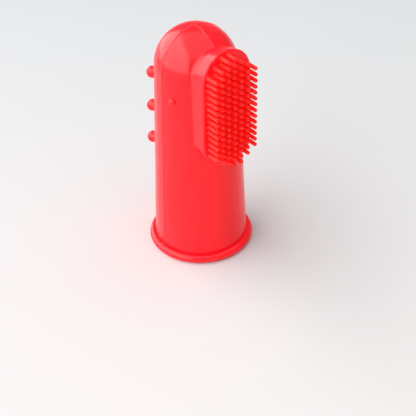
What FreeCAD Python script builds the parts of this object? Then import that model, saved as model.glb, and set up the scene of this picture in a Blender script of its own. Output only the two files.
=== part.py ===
"""Silicone finger toothbrush for pets: a thimble-like sleeve with a brush pad on one side.

Row frame: +Z runs up the sleeve to its domed tip, the open end stands on z = 0, and the
bristles point to -Y. The origin is the centre of the finger opening. Millimetres.
"""
import FreeCAD, Part
import math
import os
import Sketcher

SIZES = {
    "total_height": 58.0,
    "base_radius": 11.7,
    "top_radius": 9.6,
    "wall": 1.2,
    "rim_height": 2.2,
    "rim_flat_radius": 12.0,
    "pad_low_half_width": 6.95,
    "pad_high_half_width": 6.6,
    "pad_bottom": 27.1,
    "pad_top": 56.25,
    "pad_root_distance": 5.0,
    "pad_top_drop": 1.4,
    "pad_edge_radius": 0.4,
    "face_distance": 11.4,
    "tip_distance": 14.9,
    "middle_dip": 0.5,
    "bristle_radius": 0.5,
    "root_clearance": 0.02,
    "field_centre_height": 41.5,
    "column_pitch": 1.8,
    "row_pitch": 1.5,
    "row_rise": 0.25,
    "field_half_straight": 7.6,
    "field_end_radius": 6.0,
    "nub_radius": 1.45,
    "nub_stem": 0.75,
    "back_nub_angle": 142.0,
    "back_nub_lowest": 27.6,
    "back_nub_spacing": 8.8,
    "side_nub_angle": 72.0,
    "side_nub_lowest": 23.9,
    "side_nub_spacing": 7.8,
    "bump_radius": 0.95,
    "bump_sink": 0.3,
    "bump_angle": 71.2,
    "bump_height": 43.2,
}
COLUMN_COUNT = 7
FULL_TURN = 360
QUARTER_TURN = 90
ZERO = "0 mm"
# Direction the bristles point to, as an angle in degrees from +X about +Z.
BRUSH_SIDE = "-90"

doc = FreeCAD.newDocument("finger_toothbrush")
sheet = doc.addObject("Spreadsheet::Sheet", "Sizes")
for row, (alias, value) in enumerate(SIZES.items(), start=1):
    sheet.set(f"A{row}", alias)
    sheet.set(f"B{row}", str(value))
    sheet.setAlias(f"B{row}", alias)
doc.recompute()

DOME_BASE = "(Sizes.total_height - Sizes.top_radius)"
BORE_RADIUS = "(Sizes.base_radius - Sizes.wall)"
TAPER = f"((Sizes.base_radius - Sizes.top_radius) / {DOME_BASE})"


def bind(item, **expressions):
    """Ties properties to the sheet; a double underscore in a name stands for a dot."""
    for name, expression in expressions.items():
        item.setExpression(name.replace("__", "."), expression)


def primitive(kind, name, **expressions):
    item = doc.addObject(f"Part::{kind}", name)
    bind(item, **expressions)
    return item


def cut(label, base, tool):
    item = doc.addObject("Part::Cut", label)
    item.Base = base
    item.Tool = tool
    item.Label = label
    return item


def origin_plane(body, role):
    return next(f for f in body.Origin.OriginFeatures if f.Role == role)


def new_sketch(body, role):
    sketch = body.newObject("Sketcher::SketchObject", body.Name + "_profile")
    sketch.AttachmentSupport = (origin_plane(body, role), [""])
    sketch.MapMode = "FlatFace"
    return sketch


def join_ends(sketch, count):
    """Closes a loop of curves: the end of each one is the start of the next."""
    for index in range(count):
        sketch.addConstraint(
            Sketcher.Constraint("Coincident", index, 2, (index + 1) % count, 1)
        )


def place_point(sketch, curve, end, name, across=None, up=None):
    """Ties one end of a curve to sheet expressions, measured from the sketch origin."""
    for axis, expression in (("X", across), ("Y", up)):
        if expression is None:
            continue
        distance = value_of(expression)
        sketch.addConstraint(
            Sketcher.Constraint("Distance" + axis, -1, 1, curve, end, distance)
        )
        constraint = sketch.ConstraintCount - 1
        sketch.renameConstraint(constraint, name + axis)
        sketch.setExpression(f"Constraints.{name}{axis}", expression)


def value_of(expression):
    """The number that a sheet expression stands for."""
    return float(sheet.evalExpression(expression))


def vector(across, up):
    return FreeCAD.Vector(value_of(across), value_of(up), 0)


def revolve(body, sketch, axis):
    turn = body.newObject("PartDesign::Revolution", body.Name + "_turn")
    turn.Profile = sketch
    turn.ReferenceAxis = (sketch, [axis])
    turn.Angle = FULL_TURN
    body.Tip = turn
    return turn


# The outer form: a tapered post under a half ball. Everything outside it grows from it.
outer_post = primitive(
    "Cone",
    "outer_post",
    Radius1="Sizes.base_radius",
    Radius2="Sizes.top_radius",
    Height=DOME_BASE,
)
outer_ball = primitive(
    "Sphere",
    "outer_ball",
    Radius="Sizes.top_radius",
    Placement__Base__z=DOME_BASE,
)
outer_form = doc.addObject("Part::Fuse", "outer_form")
outer_form.Base = outer_post
outer_form.Tool = outer_ball
outer_form.Refine = False


def finger_sleeve():
    """Tapered tube from the rim up to the dome; its bore narrows by as much as its outside."""
    length = f"{DOME_BASE} - Sizes.rim_height"
    outside = primitive(
        "Cone",
        "sleeve_outside",
        Radius1=f"Sizes.base_radius - {TAPER} * Sizes.rim_height",
        Radius2="Sizes.top_radius",
        Height=length,
        Placement__Base__z="Sizes.rim_height",
    )
    inside = primitive(
        "Cone",
        "sleeve_inside",
        Radius1=BORE_RADIUS,
        Radius2="Sizes.top_radius - Sizes.wall",
        Height=length,
        Placement__Base__z="Sizes.rim_height",
    )
    return cut("finger_sleeve", outside, inside)


def tip_dome():
    """Half-ball cap over the fingertip, as thick as the sleeve."""
    halves = []
    for name, radius in (
        ("dome_outside", "Sizes.top_radius"),
        ("dome_inside", "Sizes.top_radius - Sizes.wall"),
    ):
        half = primitive("Sphere", name, Radius=radius, Placement__Base__z=DOME_BASE)
        half.Angle1 = 0
        half.Angle2 = QUARTER_TURN
        halves.append(half)
    return cut("tip_dome", *halves)


def rim_bead():
    """Rolled bead round the open end, flat underneath, with a straight bore."""
    body = doc.addObject("PartDesign::Body", "rim_bead")
    sketch = new_sketch(body, "XZ_Plane")
    bore_foot = vector(BORE_RADIUS, ZERO)
    flat_edge = vector("Sizes.rim_flat_radius", ZERO)
    bore_top = vector(BORE_RADIUS, "Sizes.rim_height")
    top_edge = vector("Sizes.rim_flat_radius", "Sizes.rim_height")
    bulge = (flat_edge + top_edge) / 2 + FreeCAD.Vector(SIZES["rim_height"] / 2, 0, 0)
    sketch.addGeometry(Part.LineSegment(bore_foot, flat_edge), False)
    sketch.addGeometry(Part.Arc(flat_edge, bulge, top_edge), False)
    sketch.addGeometry(Part.LineSegment(top_edge, bore_top), False)
    sketch.addGeometry(Part.LineSegment(bore_top, bore_foot), False)
    join_ends(sketch, 4)
    place_point(sketch, 0, 1, "boreFoot", BORE_RADIUS, ZERO)
    place_point(sketch, 0, 2, "flatEdge", "Sizes.rim_flat_radius", ZERO)
    place_point(sketch, 2, 1, "topEdge", "Sizes.rim_flat_radius", "Sizes.rim_height")
    place_point(sketch, 2, 2, "boreTop", BORE_RADIUS, "Sizes.rim_height")
    place_point(sketch, 1, 3, "bulgeCentre", across="Sizes.rim_flat_radius")
    revolve(body, sketch, "V_Axis")
    return body


def pad_outline(body, distance, top):
    """Outline of the pad at a distance from the axis: round ends, a little narrower at the top."""
    sketch = new_sketch(body, "XZ_Plane")
    bind(sketch, AttachmentOffset__Base__z=distance)
    low = "Sizes.pad_bottom + Sizes.pad_low_half_width"
    high = f"{top} - Sizes.pad_high_half_width"
    right_low = vector("Sizes.pad_low_half_width", low)
    right_high = vector("Sizes.pad_high_half_width", high)
    left_low = vector("-Sizes.pad_low_half_width", low)
    left_high = vector("-Sizes.pad_high_half_width", high)
    crown = vector(ZERO, top)
    foot = vector(ZERO, "Sizes.pad_bottom")
    sketch.addGeometry(Part.LineSegment(right_low, right_high), False)
    sketch.addGeometry(Part.Arc(right_high, crown, left_high), False)
    sketch.addGeometry(Part.LineSegment(left_high, left_low), False)
    sketch.addGeometry(Part.Arc(left_low, foot, right_low), False)
    join_ends(sketch, 4)
    place_point(sketch, 0, 1, "rightLow", "Sizes.pad_low_half_width", low)
    place_point(sketch, 0, 2, "rightHigh", "Sizes.pad_high_half_width", high)
    place_point(sketch, 2, 1, "leftHigh", "-Sizes.pad_high_half_width", high)
    place_point(sketch, 2, 2, "leftLow", "-Sizes.pad_low_half_width", low)
    place_point(sketch, 1, 3, "highCentre", up=high)
    place_point(sketch, 3, 3, "lowCentre", up=low)
    return sketch


def brush_plinth():
    """Flat-faced pad that carries the bristles; its top wall rises towards the face."""
    body = doc.addObject("PartDesign::Body", "plinth_block")
    root = pad_outline(body, "Sizes.pad_root_distance", "Sizes.pad_top - Sizes.pad_top_drop")
    face = pad_outline(body, "Sizes.face_distance", "Sizes.pad_top")
    block = body.newObject("PartDesign::AdditiveLoft", "plinth_depth")
    block.Profile = root
    block.Sections = [face]
    block.Ruled = True
    body.Tip = block
    doc.recompute()
    front = min(range(len(block.Shape.Faces)), key=lambda f: block.Shape.Faces[f].CenterOfMass.y)
    edge = body.newObject("PartDesign::Fillet", "plinth_edge")
    edge.Base = (block, [f"Face{front + 1}"])
    bind(edge, Radius="Sizes.pad_edge_radius")
    body.Tip = edge
    return cut("brush_plinth", body, outer_form)


def lattice_heights(column):
    """Heights, above the field's centre, of the bristles in one column, lowest first.

    The rows rise by row_rise from one column to the next, and the field has round ends.
    """
    across = column * SIZES["column_pitch"]
    drop = math.sqrt(SIZES["field_end_radius"] ** 2 - across**2)
    limit = SIZES["field_half_straight"] + drop
    rise = column * SIZES["row_rise"]
    pitch = SIZES["row_pitch"]
    first = math.ceil((-limit - rise) / pitch)
    last = math.floor((limit - rise) / pitch)
    return [rise + row * pitch for row in range(first, last + 1)]


def bristle_column(number):
    """One upright column of round-ended bristles, shorter the nearer it is to the middle one."""
    column = number - (COLUMN_COUNT + 1) // 2
    heights = lattice_heights(column)
    dip_share = 1 - (2 * column / (COLUMN_COUNT - 1)) ** 2
    body = doc.addObject("PartDesign::Body", f"bristle_column_{number}")
    sketch = new_sketch(body, "YZ_Plane")
    foot = "Sizes.face_distance + Sizes.root_clearance"
    low = f"-({foot} + Sizes.bristle_radius)"
    tip = f"(Sizes.tip_distance - {dip_share:.4f} * Sizes.middle_dip)"
    high = f"-({tip} - Sizes.bristle_radius)"
    low_centre = vector(low, ZERO)
    high_centre = vector(high, ZERO)
    radius = SIZES["bristle_radius"]
    side = FreeCAD.Vector(0, radius, 0)
    along = FreeCAD.Vector(radius, 0, 0)
    slant = FreeCAD.Vector(radius, radius, 0) / math.sqrt(2)
    slant_out = FreeCAD.Vector(-radius, radius, 0) / math.sqrt(2)
    sketch.addGeometry(
        Part.Arc(low_centre + along, low_centre + slant, low_centre + side), False
    )
    sketch.addGeometry(Part.LineSegment(low_centre + side, high_centre + side), False)
    sketch.addGeometry(
        Part.Arc(high_centre + side, high_centre + slant_out, high_centre - along), False
    )
    sketch.addGeometry(Part.LineSegment(high_centre - along, low_centre + along), False)
    join_ends(sketch, 4)
    place_point(sketch, 0, 1, "foot", f"-({foot})", ZERO)
    place_point(sketch, 1, 1, "rootSide", low, "Sizes.bristle_radius")
    place_point(sketch, 1, 2, "tipSide", high, "Sizes.bristle_radius")
    place_point(sketch, 2, 2, "tip", f"-{tip}", ZERO)
    place_point(sketch, 0, 3, "rootCentre", across=low)
    place_point(sketch, 2, 3, "tipCentre", across=high)
    revolve(body, sketch, "H_Axis")
    doc.recompute()
    pattern = body.newObject("PartDesign::LinearPattern", body.Name + "_row")
    pattern.Originals = [body.Tip]
    pattern.Direction = (sketch, ["V_Axis"])
    pattern.Occurrences = len(heights)
    bind(pattern, Length=f"{len(heights) - 1} * Sizes.row_pitch")
    body.Tip = pattern
    steps = round((heights[0] - column * SIZES["row_rise"]) / SIZES["row_pitch"])
    bind(
        body,
        Placement__Base__x=f"{column} * Sizes.column_pitch",
        Placement__Base__z=(
            f"Sizes.field_centre_height + {column} * Sizes.row_rise + {steps} * Sizes.row_pitch"
        ),
    )
    return body


def nub(label, angle, height):
    """Round-ended massage stud on the sleeve; angle is measured from +X about +Z."""
    surface = f"(Sizes.base_radius - {TAPER} * ({height}))"
    turn = f"({angle}) * 1 deg"
    place = {
        "Placement__Base__z": height,
        "Placement__Base__x": f"({surface} + Sizes.nub_stem) * cos({turn})",
        "Placement__Base__y": f"({surface} + Sizes.nub_stem) * sin({turn})",
    }
    ball = primitive("Sphere", label + "_ball", Radius="Sizes.nub_radius", **place)
    stem = doc.addObject("Part::Cylinder", label + "_stem")
    facing = FreeCAD.Rotation(
        FreeCAD.Vector(0, 0, 1),
        FreeCAD.Vector(-1, 0, 0),
    )
    degrees = value_of(angle)
    spin = FreeCAD.Rotation(FreeCAD.Vector(0, 0, 1), degrees)
    stem.Placement.Rotation = spin.multiply(facing)
    bind(stem, Radius="Sizes.nub_radius", Height="Sizes.nub_stem + 2 * Sizes.wall", **place)
    whole = doc.addObject("Part::Fuse", label + "_whole")
    whole.Base = ball
    whole.Tool = stem
    whole.Refine = True
    return cut(label, whole, outer_form)


def massage_nubs():
    """Two rows behind the flanks, and a third row beside the pad on the +X flank."""
    rows = [
        ("back_left_nub", f"{BRUSH_SIDE} - Sizes.back_nub_angle", "back_nub"),
        ("back_right_nub", f"{BRUSH_SIDE} + Sizes.back_nub_angle", "back_nub"),
        ("side_nub", f"{BRUSH_SIDE} + Sizes.side_nub_angle", "side_nub"),
    ]
    made = []
    for name, angle, kind in rows:
        for step, level in enumerate(("lower", "middle", "upper")):
            height = f"Sizes.{kind}_lowest + {step} * Sizes.{kind}_spacing"
            made.append(nub(f"{name}_{level}", angle, height))
    return made


def grip_bump():
    """Low round bump on the -X flank."""
    surface = f"(Sizes.base_radius - {TAPER} * Sizes.bump_height - Sizes.bump_sink)"
    turn = f"({BRUSH_SIDE} - Sizes.bump_angle) * 1 deg"
    ball = primitive(
        "Sphere",
        "bump_ball",
        Radius="Sizes.bump_radius",
        Placement__Base__x=f"{surface} * cos({turn})",
        Placement__Base__y=f"{surface} * sin({turn})",
        Placement__Base__z="Sizes.bump_height",
    )
    return cut("grip_bump", ball, outer_form)


def check(items):
    """Stops the build if any object failed or any sub-part's shape is not sound."""
    for item in doc.Objects:
        if {"Invalid", "Error"} & set(item.State):
            raise RuntimeError(f"{item.Name} failed: {item.State}")
    for item in items:
        if item.Shape.isNull() or not item.Shape.isValid():
            raise RuntimeError(f"{item.Label} has no sound shape")


subparts = [finger_sleeve(), tip_dome(), rim_bead(), brush_plinth()]
subparts += [bristle_column(number) for number in range(1, COLUMN_COUNT + 1)]
subparts += massage_nubs()
subparts.append(grip_bump())
doc.recompute()
check(subparts)

os.makedirs("parts", exist_ok=True)
for item in subparts:
    item.Shape.exportStep(f"parts/{item.Label}.step")
    print(item.Label, len(item.Shape.Solids), "solids", round(item.Shape.Volume, 3), "mm3")
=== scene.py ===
"""Looks for the silicone finger toothbrush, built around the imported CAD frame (metres)."""

import itertools
import math

import bpy
import numpy as np
from mathutils import Matrix, Vector


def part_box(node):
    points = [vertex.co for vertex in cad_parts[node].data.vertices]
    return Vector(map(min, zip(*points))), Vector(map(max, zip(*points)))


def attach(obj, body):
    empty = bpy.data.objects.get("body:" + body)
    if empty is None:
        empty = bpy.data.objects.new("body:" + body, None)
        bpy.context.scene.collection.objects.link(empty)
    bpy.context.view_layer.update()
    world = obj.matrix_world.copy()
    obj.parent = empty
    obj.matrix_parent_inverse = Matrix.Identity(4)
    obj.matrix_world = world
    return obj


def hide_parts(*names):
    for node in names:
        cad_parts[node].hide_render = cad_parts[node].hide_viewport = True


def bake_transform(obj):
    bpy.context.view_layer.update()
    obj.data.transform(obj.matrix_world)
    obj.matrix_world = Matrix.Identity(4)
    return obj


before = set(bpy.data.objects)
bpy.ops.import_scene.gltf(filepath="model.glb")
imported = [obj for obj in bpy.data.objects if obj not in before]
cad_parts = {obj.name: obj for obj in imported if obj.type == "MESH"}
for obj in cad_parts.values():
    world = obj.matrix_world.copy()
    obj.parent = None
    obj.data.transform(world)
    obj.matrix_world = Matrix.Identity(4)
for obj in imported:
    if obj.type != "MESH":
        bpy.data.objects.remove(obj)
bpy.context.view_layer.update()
MM = 0.001

ROOT_BODY = "brush_body"
COLUMNS = sorted(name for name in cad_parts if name.startswith("bristle_column_"))
NUBS = sorted(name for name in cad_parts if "_nub_" in name)
BUMP = "grip_bump"


# ---------------------------------------------------------------- sizes from the CAD, in mm
def box_mm(node):
    """A CAD node's lowest and highest corners."""
    low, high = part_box(node)
    return np.array(low) / MM, np.array(high) / MM


SLEEVE_LOW, SLEEVE_HIGH = box_mm("finger_sleeve")
DOME_LOW, DOME_HIGH = box_mm("tip_dome")
PAD_LOW, PAD_HIGH = box_mm("brush_plinth")
_, RIM_HIGH = box_mm("rim_bead")

DOME_RADIUS = DOME_HIGH[0]
DOME_BASE = DOME_LOW[2]
TAPER = (SLEEVE_HIGH[0] - DOME_RADIUS) / (SLEEVE_HIGH[2] - SLEEVE_LOW[2])
SLOPE = math.atan(TAPER)
RIM_RADIUS = RIM_HIGH[0]
RIM_HEIGHT = RIM_HIGH[2]
WALL = 1.2  # this and ROW_PITCH repeat part.py's sizes
ROW_PITCH = 1.5

# The pad's outline is two round ends, the upper one smaller, and the straight sides between.
PAD_NARROWING = 0.35
PAD_LOW_RADIUS = PAD_HIGH[0]
PAD_HIGH_RADIUS = PAD_LOW_RADIUS - PAD_NARROWING
PAD_LOW_CENTRE = PAD_LOW[2] + PAD_LOW_RADIUS
PAD_HIGH_CENTRE = PAD_HIGH[2] - PAD_HIGH_RADIUS
PAD_MIDDLE = (PAD_LOW[2] + PAD_HIGH[2]) / 2
PAD_RISE = 0.22  # of the upper end, per mm towards the face
FACE = -PAD_LOW[1]  # from the axis to the pad's flat face

# ---------------------------------------------------------------- details added here, in mm
NET_STEP = 0.2
NET_MARGIN = 1.0

PAD_FOOT = 4.0  # from the axis to the pad block's hidden end
PAD_EDGE = 0.35
PAD_FILLET = 0.25
SEAM_HEIGHT = 0.07  # the soft ridge in the mesh under each mould line
SEAM_WIDTH = 0.3
LINE_HEIGHT = 0.14  # the crisp line on it, in the material
LINE_WIDTH = 0.16
GRAIN_HEIGHT = 0.004

RIM_SEGMENTS = 192
RIM_STEPS = 12
RIM_OVERLAP = 0.05  # how far the roll stands inside the skin's bore
RIM_LINE_HEIGHT = 0.05
RIM_LINE_ANGLE = 0.09

STUD_SEGMENTS = 48
STUD_SINK = 0.35
STUD_FLARE = 0.22
BUMP_FLARE = 0.06
STUD_SPREAD = 1.3  # the buried foot's width, as a share of the flare
STUD_FLARE_DROP = 0.04
STUD_FLARE_STEPS = 6
STUD_CROWN_STEPS = 15

BRISTLE_SEGMENTS = 20
BRISTLE_SINK = 0.12
BRISTLE_FLARE = 0.14
BRISTLE_TAPER = 0.03
BRISTLE_FLARE_DROP = 0.01
BRISTLE_FLARE_STEPS = 4
BRISTLE_SHANK_STEPS = 9
BRISTLE_TIP_STEPS = 8
BRISTLE_LEAN = 0.006  # spread of each bristle's slant, in mm per mm
SEED = 11

# ---------------------------------------------------------------- camera
VIEW_AZIMUTH = math.radians(37.0)
VIEW_DOWN = math.radians(36.73)
VIEW_ROLL = math.radians(1.44)
CAMERA_PLACE = Vector((-107.76, -146.14, 143.11)) * MM
CAMERA_LENS = 77.42
CAMERA_SENSOR = 36
CAMERA_CLIP = 0.01


def turned(azimuth):
    """Unit vector on the table at an angle from +Y, clockwise seen from above."""
    return Vector((math.sin(azimuth), math.cos(azimuth), 0))


# ---------------------------------------------------------------- mesh helpers
def add_object(name, data):
    """A new object in the scene for a mesh, camera or lamp."""
    obj = bpy.data.objects.new(name, data)
    bpy.context.scene.collection.objects.link(obj)
    return obj


def mesh_object(name, points_mm, faces):
    """A smooth-shaded mesh from points in mm and faces of point numbers."""
    mesh = bpy.data.meshes.new(name)
    mesh.from_pydata((points_mm * MM).tolist(), [], faces)
    mesh.validate()
    mesh.shade_smooth()
    return add_object(name, mesh)


def rings(profile, segments):
    """Points of the circles about +Z that (radius, height) pairs stand for."""
    angles = np.arange(segments) * 2 * math.pi / segments
    return np.concatenate([
        np.stack([r * np.cos(angles), r * np.sin(angles), np.full(segments, h)], 1)
        for r, h in profile
    ])


def ring_quad(a, b, side, segments):
    """One face between two circles whose points start at numbers a and b."""
    after = (side + 1) % segments
    return a + side, a + after, b + after, b + side


def lathe(profile, segments):
    """Points and faces of a closed form turned about local +Z from (radius, height) pairs.

    The profile's first and last points lie on the axis.
    """
    inner = profile[1:-1]
    bottom, top = [0, 0, profile[0][1]], [0, 0, profile[-1][1]]
    points = np.concatenate([[bottom], rings(inner, segments), [top]])
    starts = [1 + ring * segments for ring in range(len(inner))]
    faces = []
    for side in range(segments):
        after = (side + 1) % segments
        faces.append((0, starts[0] + after, starts[0] + side))
        faces += [ring_quad(a, b, side, segments) for a, b in zip(starts, starts[1:])]
        faces.append((starts[-1] + side, starts[-1] + after, len(points) - 1))
    return points, faces


def surface_net(field, low, high, step):
    """Points and quads near the zero surface of a signed distance field, in mm."""
    axes = [np.arange(a, b + step, step) for a, b in zip(low, high)]
    inside = field(*np.meshgrid(*axes, indexing="ij")) < 0
    shape = np.array(inside.shape) - 1
    count = np.zeros(shape, np.int8)
    for i, j, k in itertools.product((0, 1), repeat=3):
        count += inside[i : i + shape[0], j : j + shape[1], k : k + shape[2]]
    cells = (count > 0) & (count < 8)
    number = np.full(cells.shape, -1)
    number[cells] = np.arange(cells.sum())
    points = (np.argwhere(cells) + 0.5) * step + np.array(low)
    quads = []
    for axis in range(3):
        here = np.moveaxis(inside, axis, 0)
        cell = np.moveaxis(number, axis, 0)
        crossed = here[:-1] != here[1:]
        i, j, k = (np.argwhere(crossed[:, 1:-1, 1:-1]) + (0, 1, 1)).T
        quad = np.stack(
            [cell[i, j - 1, k - 1], cell[i, j, k - 1], cell[i, j, k], cell[i, j - 1, k]], 1
        )
        # With the middle axis in front, the other two are in left-handed order.
        flip = here[i, j, k] if axis == 1 else ~here[i, j, k]
        quad[flip] = quad[flip][:, ::-1]
        quads.append(quad)
    return points, np.concatenate(quads)


def settle(points, field, rounds):
    """Moves points along the field's slope onto its zero surface."""
    nudge = 0.02
    least_slope_squared = 0.25
    for _ in range(rounds):
        value = field(*points.T)
        slope = np.stack(
            [
                field(*(points + offset).T) - field(*(points - offset).T)
                for offset in nudge * np.eye(3)
            ],
            1,
        ) / (2 * nudge)
        steep = np.maximum((slope**2).sum(1), least_slope_squared)
        points = points - slope * (value / steep)[:, None]
    return points


def even_out(points, quads, field, rounds):
    """Slides points halfway to the middle of their neighbours and back onto the surface."""
    ends = np.concatenate([quads[:, [a, (a + 1) % 4]] for a in range(4)])
    ends = np.concatenate([ends, ends[:, ::-1]])
    neighbours = np.bincount(ends[:, 0], minlength=len(points)).astype(float)
    for _ in range(rounds):
        total = np.stack(
            [np.bincount(ends[:, 0], points[ends[:, 1], a], len(points)) for a in range(3)], 1
        )
        points = points + 0.5 * (total / neighbours[:, None] - points)
        points = settle(points, field, 2)
    return points


# ---------------------------------------------------------------- the moulded skin
def smooth_union(a, b, radius):
    """Joins two distance fields with a round fillet of that radius."""
    u = np.maximum(radius - a, 0)
    v = np.maximum(radius - b, 0)
    return np.maximum(radius, np.minimum(a, b)) - np.hypot(u, v)


def outer_form(x, y, z):
    """Distance to the tapered post with its ball end, which meet with no crease."""
    r = np.hypot(x, y)
    up = z - DOME_BASE
    post = (r - DOME_RADIUS / math.cos(SLOPE) + up * TAPER) * math.cos(SLOPE)
    ball = np.hypot(r, up) - DOME_RADIUS
    return np.where(up < r * TAPER, post, ball)


def pad_block(x, y, z):
    """Distance to the flat-faced block with round ends.

    It is narrower at the top, and its upper end rises towards the face.
    """
    span = PAD_HIGH_CENTRE - PAD_LOW_CENTRE - PAD_RISE * (FACE + y)
    narrowing = (PAD_LOW_RADIUS - PAD_HIGH_RADIUS) / span
    upright = np.sqrt(1 - narrowing**2)
    across = np.abs(x)
    up = z - PAD_LOW_CENTRE
    along = up * upright - across * narrowing
    low_end = np.hypot(across, up) - PAD_LOW_RADIUS
    high_end = np.hypot(across, up - span) - PAD_HIGH_RADIUS
    side = across * upright + up * narrowing - PAD_LOW_RADIUS
    outline = np.where(along < 0, low_end, np.where(along > upright * span, high_end, side))
    outline = outline + PAD_EDGE
    depth = np.maximum(-y - FACE + PAD_EDGE, PAD_FOOT + y)
    outside = np.hypot(np.maximum(outline, 0), np.maximum(depth, 0))
    return outside + np.minimum(np.maximum(outline, depth), 0) - PAD_EDGE


def seam_lines(x, y, z):
    """Fine raised lines where the mould closed: round both flanks, and down the tip's front."""
    flank = np.exp(-((y / SEAM_WIDTH) ** 2))
    front = np.exp(-((x / SEAM_WIDTH) ** 2)) * (y < 0) * (z > PAD_MIDDLE)
    return SEAM_HEIGHT * np.maximum(flank, front)


def skin_field(x, y, z):
    """Distance to the sleeve, dome and pad as the one thin-walled moulding that they are."""
    form = outer_form(x, y, z)
    outside = smooth_union(form - seam_lines(x, y, z), pad_block(x, y, z), PAD_FILLET)
    cavity = form + WALL
    foot = RIM_HEIGHT / 2 - z
    return np.maximum(np.maximum(outside, -cavity), foot)


def make_skin():
    """The moulding's one continuous skin, which ends inside the rolled rim."""
    low = (-RIM_RADIUS, PAD_LOW[1] - NET_MARGIN, 0)
    high = (RIM_RADIUS, RIM_RADIUS, DOME_HIGH[2] + NET_MARGIN)
    points, quads = surface_net(skin_field, low, high, NET_STEP)
    points = settle(points, skin_field, 3)
    points = even_out(points, quads, skin_field, 3)
    skin = mesh_object("sleeve_skin", points, quads.tolist())
    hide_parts("finger_sleeve", "tip_dome", "brush_plinth")
    return skin


# ---------------------------------------------------------------- rim, studs and bump
def make_rim():
    """The rolled bead: rounded inside and out, with a fine mould line round it."""
    middle = RIM_HEIGHT / 2
    sleeve_foot = DOME_RADIUS / math.cos(SLOPE) + TAPER * DOME_BASE
    outer_centre = RIM_RADIUS - middle
    inner_centre = sleeve_foot - (WALL + RIM_OVERLAP) + middle
    profile = []
    for step in range(-RIM_STEPS, RIM_STEPS + 1):
        angle = step / RIM_STEPS * math.pi / 2
        line = RIM_LINE_HEIGHT * math.exp(-((angle / RIM_LINE_ANGLE) ** 2))
        reach = middle - RIM_LINE_HEIGHT + line
        profile.append((outer_centre + reach * math.cos(angle),
                        middle + middle * math.sin(angle)))
    for step in range(RIM_STEPS + 1):
        angle = math.pi / 2 + step / RIM_STEPS * math.pi
        profile.append((inner_centre + middle * math.cos(angle),
                        middle + middle * math.sin(angle)))
    starts = [ring * RIM_SEGMENTS for ring in range(len(profile))]
    faces = [
        ring_quad(a, b, side, RIM_SEGMENTS)
        for a, b in zip(starts, starts[1:] + starts[:1])
        for side in range(RIM_SEGMENTS)
    ]
    rim = mesh_object("rim_roll", rings(profile, RIM_SEGMENTS), faces)
    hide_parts("rim_bead")
    return rim


def quarter_turn(steps):
    """Angles from 0 to a right angle, with both ends."""
    return [step / steps * math.pi / 2 for step in range(steps + 1)]


def flared_foot(radius, flare, steps, drop):
    """Outline that curves in from the surface, where it is wider, to a rod's own radius."""
    return [
        (radius + flare * (1 - math.sin(angle)), flare * (1 - math.cos(angle)) - drop)
        for angle in quarter_turn(steps)
    ]


def round_end(radius, crown, top, angles):
    """Outline of a rod's end that rounds off over the crown's height."""
    return [
        (radius * math.cos(angle), top - crown + crown * math.sin(angle)) for angle in angles
    ]


def stud_profile(radius, reach, flare):
    """Half outline of a round-ended stud with a flared foot sunk into the wall."""
    crown = min(radius, reach - flare)
    return [
        (0, -STUD_SINK),
        (radius + flare * STUD_SPREAD, -STUD_SINK),
        *flared_foot(radius, flare, STUD_FLARE_STEPS, STUD_FLARE_DROP),
        *round_end(radius, crown, reach, quarter_turn(STUD_CROWN_STEPS)[1:-1]),
        (0, reach),
    ]


def make_stud(node, name, flare):
    """A detailed stud on the axis of a CAD stud: its furthest point gives its direction."""
    points = np.array([vertex.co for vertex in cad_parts[node].data.vertices]) / MM
    far = points[np.hypot(points[:, 0], points[:, 1]).argmax()]
    height = (points[:, 2].min() + points[:, 2].max()) / 2
    direction = Vector((far[0], far[1], 0)).normalized()
    surface = DOME_RADIUS + TAPER * (DOME_BASE - height)
    reach = math.hypot(far[0], far[1]) - surface
    radius = (points[:, 2].max() - points[:, 2].min()) / 2
    local, faces = lathe(stud_profile(radius, reach, flare), STUD_SEGMENTS)
    turn = direction.to_track_quat("Z", "Y").to_matrix()
    placed = local @ np.array(turn).T + np.array(direction) * surface + (0, 0, height)
    stud = mesh_object(name, placed, faces)
    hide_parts(node)
    return stud


# ---------------------------------------------------------------- bristles
def bristle_profile(length, radius):
    """Half outline from the root, flared into the pad's face, to the round tip."""
    tip = radius - BRISTLE_TAPER
    shank = length - tip - BRISTLE_FLARE
    shares = [step / BRISTLE_SHANK_STEPS for step in range(1, BRISTLE_SHANK_STEPS)]
    return [
        (0, -BRISTLE_SINK),
        (radius + BRISTLE_FLARE, -BRISTLE_SINK),
        *flared_foot(radius, BRISTLE_FLARE, BRISTLE_FLARE_STEPS, BRISTLE_FLARE_DROP),
        *[(radius - BRISTLE_TAPER * share, BRISTLE_FLARE + shank * share) for share in shares],
        *round_end(tip, tip, length, quarter_turn(BRISTLE_TIP_STEPS)[:-1]),
        (0, length),
    ]


def make_column(node, chance):
    """All bristles of one column, each a little out of true, as moulded silicone is."""
    low, high = box_mm(node)
    radius = (high[0] - low[0]) / 2
    across = (high[0] + low[0]) / 2
    length = -low[1] - FACE
    first = low[2] + radius
    last = high[2] - radius
    count = round((last - first) / ROW_PITCH) + 1
    local, one_faces = lathe(bristle_profile(length, radius), BRISTLE_SEGMENTS)
    up = local[:, 2]
    points, faces = [], []
    for height in np.linspace(first, last, count):
        lean = chance.normal(0, BRISTLE_LEAN, 2)
        placed = np.stack(
            [across + local[:, 0] + lean[0] * up, -FACE - up, height + local[:, 1] + lean[1] * up],
            1,
        )
        start = len(points) * len(local)
        faces += [tuple(start + corner for corner in face) for face in one_faces]
        points.append(placed)
    column = mesh_object(node.replace("column", "row"), np.concatenate(points), faces)
    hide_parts(node)
    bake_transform(column)
    return column


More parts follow.
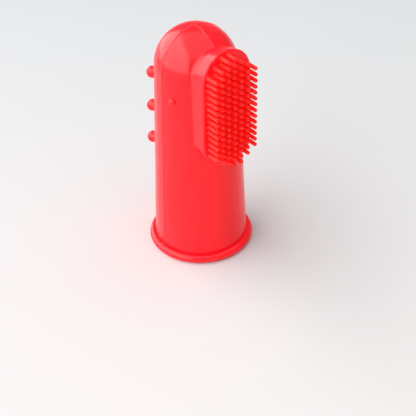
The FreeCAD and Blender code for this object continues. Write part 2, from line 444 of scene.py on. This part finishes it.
# ---------------------------------------------------------------- materials
def blank_material(name):
    """A material with no nodes, and a short way to add nodes to it and join them."""
    material = bpy.data.materials.new(name)
    material.use_nodes = True
    tree = material.node_tree
    tree.nodes.clear()

    def add(kind, inputs, **settings):
        node = tree.nodes.new(kind)
        for key, value in settings.items():
            setattr(node, key, value)
        for key, value in inputs.items():
            if isinstance(value, bpy.types.NodeSocket):
                tree.links.new(value, node.inputs[key])
            else:
                node.inputs[key].default_value = value
        return node

    return material, add


def math_node(add, operation, *values):
    """The result of a math node on numbers and sockets."""
    return add("ShaderNodeMath", dict(enumerate(values)), operation=operation).outputs[0]


def mixed_tint(add, factor, first, second):
    """A colour between two, by a factor from 0 to 1."""
    inputs = {"Factor": factor, "A": (*first, 1), "B": (*second, 1)}
    return add("ShaderNodeMix", inputs, data_type="RGBA").outputs["Result"]


def mould_line(add, place):
    """Height in metres of the crisp parting line: round both flanks and down the tip's front."""

    def ridge(distance):
        share = math_node(add, "DIVIDE", distance, LINE_WIDTH * MM)
        squared = math_node(add, "MULTIPLY", share, share)
        return math_node(add, "EXPONENT", math_node(add, "MULTIPLY", squared, -1.0))

    # The front line stops short of the pad, whose face has none.
    line_depth = 0.75 * DOME_RADIUS
    across, depth, up = add("ShaderNodeSeparateXYZ", {"Vector": place}).outputs
    before_axis = math_node(add, "LESS_THAN", depth, 0.0)
    behind_pad = math_node(add, "GREATER_THAN", depth, -line_depth * MM)
    above_pad = math_node(add, "GREATER_THAN", up, PAD_MIDDLE * MM)
    between = math_node(add, "MULTIPLY", before_axis, behind_pad)
    on_tip = math_node(add, "MULTIPLY", between, above_pad)
    front = math_node(add, "MULTIPLY", on_tip, ridge(across))
    both = math_node(add, "MAXIMUM", front, ridge(depth))
    return math_node(add, "MULTIPLY", both, LINE_HEIGHT * MM)


def silicone(name, deep, pale, scatter, roughness, gloss, painted_glow, painted_glow_range):
    """Translucent red silicone: tinted scattering, satin skin, mould lines and fine grain.

    A painted glow, an emission although the silicone is no lamp, lifts its shaded side and
    the recess between the bristles; it changes from its first to its second value between
    two distances in front of the axis. Lengths are in mm.
    """
    material, add = blank_material(name)
    place = add("ShaderNodeTexCoord", {}).outputs["Object"]
    cloud = add("ShaderNodeTexNoise", {"Vector": place, "Scale": 60.0, "Detail": 1.0})
    grain = add("ShaderNodeTexNoise", {"Vector": place, "Scale": 2600.0, "Detail": 3.0})
    line = mould_line(add, place)
    height = math_node(add, "MULTIPLY_ADD", grain.outputs["Fac"], GRAIN_HEIGHT * MM, line)
    bump = add("ShaderNodeBump", {"Height": height, "Strength": 1.0, "Distance": 1.0})
    # Painted glow: emission strength that lifts the shade, going from the first to the second
    # value across the range.
    painted_glow_strength = add(
        "ShaderNodeMapRange",
        {
            "Value": add("ShaderNodeSeparateXYZ", {"Vector": place}).outputs["Y"],
            "From Min": -painted_glow_range[0] * MM,
            "From Max": -painted_glow_range[1] * MM,
            "To Min": painted_glow[0],
            "To Max": painted_glow[1],
        },
    )
    surface = add(
        "ShaderNodeBsdfPrincipled",
        {
            "Base Color": mixed_tint(add, cloud.outputs["Fac"], deep, pale),
            "Roughness": roughness,
            "Normal": bump.outputs["Normal"],
            "IOR": 1.41,
            "Specular IOR Level": gloss,
            "Subsurface Weight": 1.0,
            "Subsurface Radius": (1.0, 0.12, 0.10),
            "Subsurface Scale": scatter * MM,
            # Painted glow in the silicone's own red, although it is no lamp.
            "Emission Color": (*deep, 1),
            "Emission Strength": painted_glow_strength.outputs["Result"],
        },
    )
    add("ShaderNodeOutputMaterial", {"Surface": surface.outputs["BSDF"]})
    return material


def floor_material():
    """Plain pale tabletop with painted shade: a little cooler and darker towards the back, away
    from the camera.
    """
    near, far = -0.06, 0.16  # metres from the brush
    cloudiness = 0.1
    material, add = blank_material("pale_table")
    place = add("ShaderNodeTexCoord", {}).outputs["Object"]
    # Painted shade: the colour goes darker and cooler along the camera's looking direction; the
    # cloud adds random tone.
    back = turned(VIEW_AZIMUTH)
    away = add("ShaderNodeVectorMath", {0: place, 1: back}, operation="DOT_PRODUCT")
    share = add(
        "ShaderNodeMapRange",
        {"Value": away.outputs["Value"], "From Min": near, "From Max": far},
    )
    cloud = add("ShaderNodeTexNoise", {"Vector": place, "Scale": 6.0, "Detail": 2.0})
    tone_and_painted_falloff = math_node(
        add, "MULTIPLY_ADD", cloud.outputs["Fac"], cloudiness, share.outputs["Result"]
    )
    tint = mixed_tint(add, tone_and_painted_falloff, (0.608, 0.588, 0.582), (0.515, 0.526, 0.532))
    surface = add(
        "ShaderNodeBsdfPrincipled",
        {"Base Color": tint, "Roughness": 0.6, "Specular IOR Level": 0.2},
    )
    add("ShaderNodeOutputMaterial", {"Surface": surface.outputs["BSDF"]})
    return material


def dress(obj, material):
    """Gives a piece its material."""
    obj.data.materials.append(material)


# ---------------------------------------------------------------- stage, light and camera
def make_camera():
    """The photograph's viewpoint."""
    data = bpy.data.cameras.new("camera")
    data.lens = CAMERA_LENS
    data.sensor_width = CAMERA_SENSOR
    data.clip_start = CAMERA_CLIP
    camera = add_object("camera", data)
    ahead = turned(VIEW_AZIMUTH) * math.cos(VIEW_DOWN) - Vector((0, 0, math.sin(VIEW_DOWN)))
    right = ahead.cross(Vector((0, 0, 1))).normalized()
    up = right.cross(ahead)
    right_rolled = right * math.cos(VIEW_ROLL) - up * math.sin(VIEW_ROLL)
    up_rolled = right * math.sin(VIEW_ROLL) + up * math.cos(VIEW_ROLL)
    turn = Matrix((right_rolled, up_rolled, -ahead)).transposed().to_4x4()
    camera.matrix_world = Matrix.Translation(CAMERA_PLACE) @ turn
    bpy.context.scene.camera = camera


def make_floor():
    """A plain tabletop, 3 m square."""
    half = 1.5
    corners = [(-half, -half, 0), (half, -half, 0), (half, half, 0), (-half, half, 0)]
    mesh = bpy.data.meshes.new("table")
    mesh.from_pydata(corners, [], [(0, 1, 2, 3)])
    mesh.materials.append(floor_material())
    floor = add_object("table", mesh)


def soft_box(name, azimuth, distance, height, aim_height, size, power):
    """A rectangular lamp, in metres and watts, facing a point on the brush's axis.

    The azimuth, in degrees, is the lamp's angle from the way the camera looks.
    """
    data = bpy.data.lights.new(name, "AREA")
    data.shape = "RECTANGLE"
    data.size, data.size_y = size
    data.energy = power
    lamp = add_object(name, data)
    beside = turned(VIEW_AZIMUTH + math.radians(azimuth)) * distance
    lamp.location = beside + Vector((0, 0, height))
    aim = Vector((0, 0, aim_height)) - lamp.location
    lamp.rotation_mode = "QUATERNION"
    lamp.rotation_quaternion = aim.to_track_quat("-Z", "Y")


def make_light():
    """A large window-like key on the left, a weak lamp overhead and a pale, even fill."""
    world = bpy.data.worlds.new("studio")
    bpy.context.scene.world = world
    world.use_nodes = True
    background = world.node_tree.nodes["Background"]
    background.inputs["Color"].default_value = (0.93, 0.96, 1.0, 1)
    background.inputs["Strength"].default_value = 0.31
    soft_box(
        "key_left", azimuth=-94, distance=1.0, height=0.92, aim_height=0.92,
        size=(4.4, 1.8), power=75.0,
    )
    soft_box(
        "overhead", azimuth=180, distance=0.2, height=1.2, aim_height=0,
        size=(2.0, 2.0), power=15.0,
    )
    bpy.context.scene.view_settings.view_transform = "Standard"


# ---------------------------------------------------------------- assembly
def build():
    """Every piece in its material, and the skin, rim and studs on their body."""
    # Painted glow: the body's lifts its shade all over, a little less at the pad's face; the
    # bristles' rises from tip to root to brighten the recess between them.
    body_red = silicone(
        "silicone_body", deep=(0.98, 0.005, 0.012), pale=(1.0, 0.008, 0.017),
        scatter=2.2, roughness=0.2, gloss=0.5,
        painted_glow=(0.12, 0.10), painted_glow_range=(FACE - 0.6, FACE - 0.1),
    )
    bristle_red = silicone(
        "silicone_bristles", deep=(1.0, 0.022, 0.019), pale=(1.0, 0.030, 0.026),
        scatter=3.0, roughness=0.42, gloss=0.2,
        painted_glow=(0.06, 0.13), painted_glow_range=(FACE + 3.5, FACE + 0.3),
    )
    fixed = [make_skin(), make_rim(), make_stud(BUMP, "grip_dot", BUMP_FLARE)]
    fixed += [make_stud(node, node.replace("nub", "stud"), STUD_FLARE) for node in NUBS]
    for piece in fixed:
        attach(piece, ROOT_BODY)
        dress(piece, body_red)
    chance = np.random.default_rng(SEED)
    for node in COLUMNS:
        dress(make_column(node, chance), bristle_red)


make_camera()
make_floor()
make_light()
build()

bpy.context.view_layer.update()
